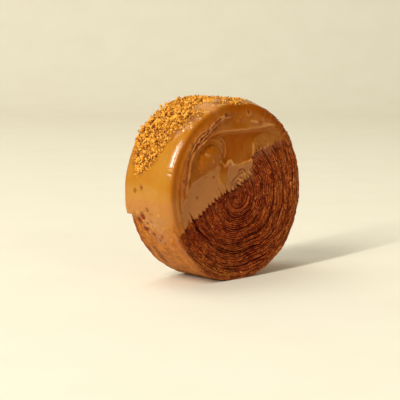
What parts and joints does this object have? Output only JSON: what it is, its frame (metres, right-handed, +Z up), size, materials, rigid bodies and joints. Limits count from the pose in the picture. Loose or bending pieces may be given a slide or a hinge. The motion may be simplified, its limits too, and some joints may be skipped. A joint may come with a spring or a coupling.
{
  "type": "croissant roll",
  "caption": "Wheel-shaped croissant roll of wound laminated dough that stands on its edge, half dipped in caramel, with biscuit crumbs on its tread.",
  "frame": {"origin": "centre of the bounding box at the level of the flat foot that the roll stands on", "axes": "+Z up, -Y out of the shown face along the roll's axle, +X to the right as seen from the shown face"},
  "size_m": [0.1032, 0.039, 0.1007],
  "materials": {
    "baked_dough": "baked brown dough in fine flaky layers, a little buttery",
    "caramel": "glossy golden-brown caramel, set in folds, with golden biscuit crumbs"
  },
  "bodies": {
    "root": {"baked_roll": "baked_dough", "caramel_coat": "caramel"}
  },
  "joints": []
}
